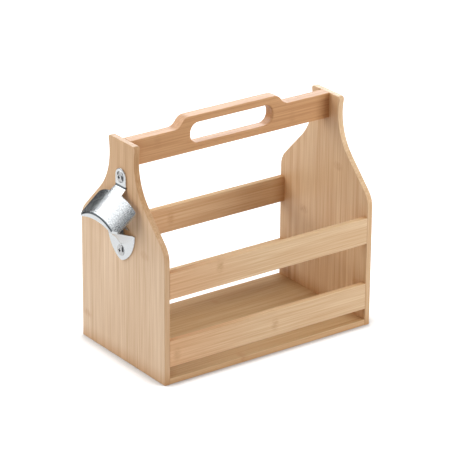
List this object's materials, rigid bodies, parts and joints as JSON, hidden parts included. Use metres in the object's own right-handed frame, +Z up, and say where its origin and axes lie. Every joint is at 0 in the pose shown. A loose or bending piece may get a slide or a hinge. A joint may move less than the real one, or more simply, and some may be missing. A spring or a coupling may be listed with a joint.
{
  "type": "bottle caddy",
  "caption": "Open bamboo bottle caddy with shouldered end panels, slatted sides, a humped handle with a hand slot, and a metal bottle opener screwed to one end",
  "frame": {"origin": "The middle of the base board's underside, on the plane the caddy stands on.", "axes": "+X runs along the caddy towards the end without the opener, +Y from the front to the rear, +Z up."},
  "size_m": [0.2686, 0.138, 0.23],
  "materials": {
    "bamboo": "sanded strip-laminated bamboo under a thin satin lacquer",
    "dowel_wood": "plain turned wood, glued",
    "opener_metal": "cast and polished metal with a bright nickel plating",
    "screw_metal": "nickel-plated steel"
  },
  "bodies": {
    "root": {"left_end_panel": "bamboo", "right_end_panel": "bamboo", "base_board": "bamboo", "front_lower_slat": "bamboo", "front_upper_slat": "bamboo", "rear_lower_slat": "bamboo", "rear_upper_slat": "bamboo", "carry_handle": "bamboo", "bottle_opener": "opener_metal", "opener_upper_screw": "screw_metal", "opener_lower_screw": "screw_metal", "base_left_dowels": "dowel_wood", "base_right_dowels": "dowel_wood", "handle_left_dowels": "dowel_wood", "handle_right_dowels": "dowel_wood", "front_lower_slat_left_dowels": "dowel_wood", "front_lower_slat_right_dowels": "dowel_wood", "front_upper_slat_left_dowels": "dowel_wood", "front_upper_slat_right_dowels": "dowel_wood", "rear_lower_slat_left_dowels": "dowel_wood", "rear_lower_slat_right_dowels": "dowel_wood", "rear_upper_slat_left_dowels": "dowel_wood", "rear_upper_slat_right_dowels": "dowel_wood"}
  },
  "joints": []
}
